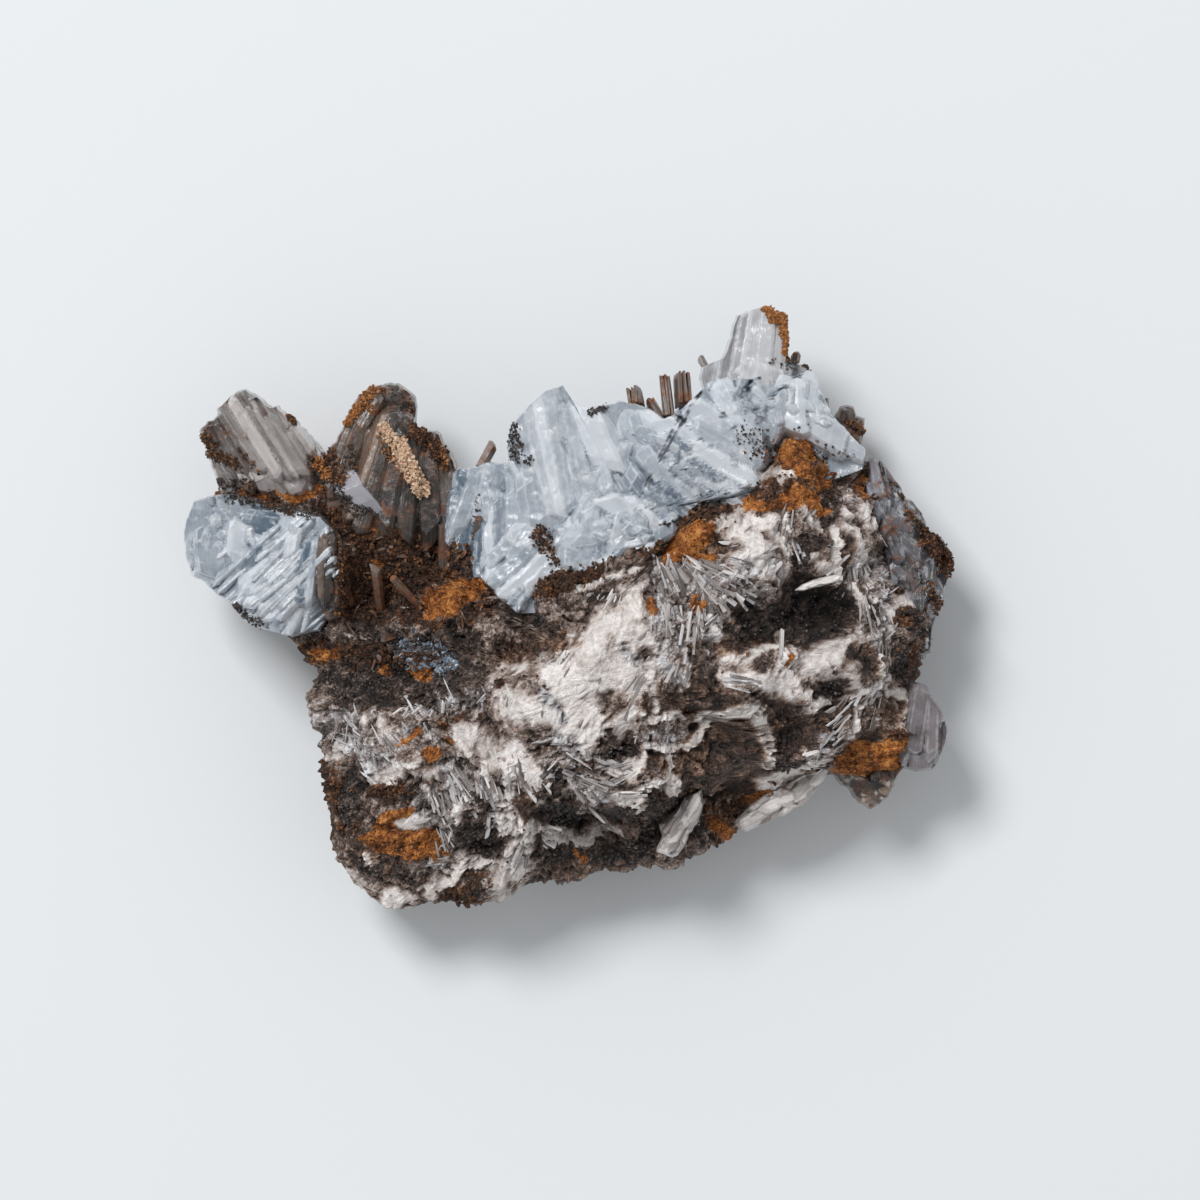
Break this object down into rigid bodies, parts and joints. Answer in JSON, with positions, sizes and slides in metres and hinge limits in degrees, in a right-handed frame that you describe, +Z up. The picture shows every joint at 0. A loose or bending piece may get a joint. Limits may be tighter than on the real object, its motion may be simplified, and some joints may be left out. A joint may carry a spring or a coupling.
{
  "type": "mineral specimen",
  "caption": "Blue barite specimen: pale blue and smoky barite blades along the edge of a rusty brown and white barite matrix, lying on its back.",
  "frame": {"origin": "on the surface that the specimen rests on, under the middle of its bounding box", "axes": "X to the specimen's right along its longest side, Y towards the crystal edge, Z up out of the broken front"},
  "size_m": [0.101, 0.0788, 0.0377],
  "materials": {
    "stone": "rough broken mineral",
    "blue_barite": "glassy crystal faces",
    "smoky_barite": "glassy, striated crystal faces",
    "grey_barite": "satin crystal faces"
  },
  "bodies": {
    "root": {"matrix": "stone", "blue_ridge": "blue_barite", "blue_cluster_left": "blue_barite", "smoky_blade_left": "smoky_barite", "smoky_blades_centre": "smoky_barite", "shoulder_blades": "smoky_barite", "edge_blades_right": "smoky_barite", "grey_blade_lower_right": "grey_barite"}
  },
  "joints": []
}
